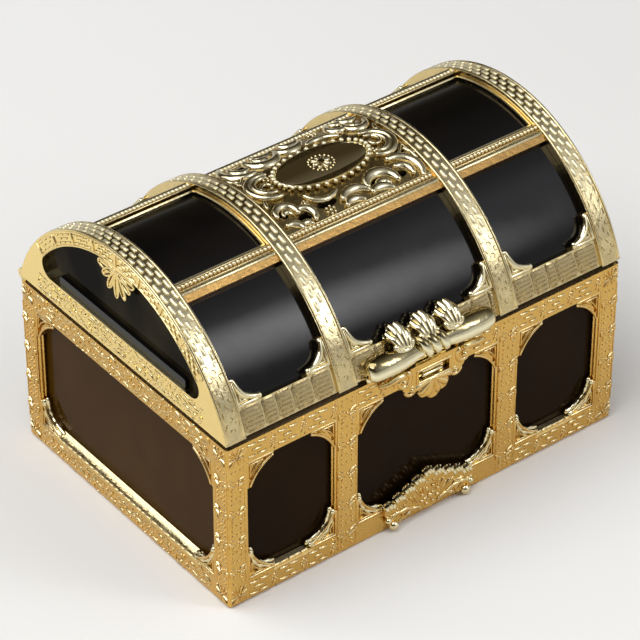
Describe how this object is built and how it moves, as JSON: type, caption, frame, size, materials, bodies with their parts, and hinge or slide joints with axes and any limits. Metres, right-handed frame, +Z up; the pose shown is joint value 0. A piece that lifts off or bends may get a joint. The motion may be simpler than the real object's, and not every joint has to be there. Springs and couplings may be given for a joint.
{
  "type": "treasure chest box",
  "caption": "Small treasure chest gift box with a hinged half-round lid, smoked panels in a plated openwork frame, and a snap clasp.",
  "frame": {"origin": "on the table, at the middle of the body's flat underside", "axes": "+X along the chest's length, -Y towards the clasp at the front, +Z up"},
  "size_m": [0.1158, 0.0869, 0.0776],
  "materials": {
    "body_gold": "electroplated bright gold",
    "lid_gold": "electroplated pale gold",
    "smoked_plastic": "smoked, glossy, nearly opaque",
    "pin_steel": "drawn wire"
  },
  "bodies": {
    "chest_body": {"body_frame": "body_gold", "body_liner": "smoked_plastic", "latch_escutcheon": "body_gold", "front_crest": "body_gold"},
    "lid": {"lid_frame": "lid_gold", "lid_liner": "smoked_plastic", "lid_cartouche": "lid_gold", "left_end_shell": "lid_gold", "right_end_shell": "lid_gold", "thumb_grip": "lid_gold", "left_grip_shell": "lid_gold", "middle_grip_shell": "lid_gold", "right_grip_shell": "lid_gold", "latch_tongue": "lid_gold", "left_hinge_pin": "pin_steel", "right_hinge_pin": "pin_steel"}
  },
  "joints": [
    {"name": "lid_hinge", "type": "hinge", "parent": "chest_body", "child": "lid", "pos_m": [0, 0.0411, 0.0468], "axis": [-1, 0, 0], "range_deg": [0, 100]}
  ]
}
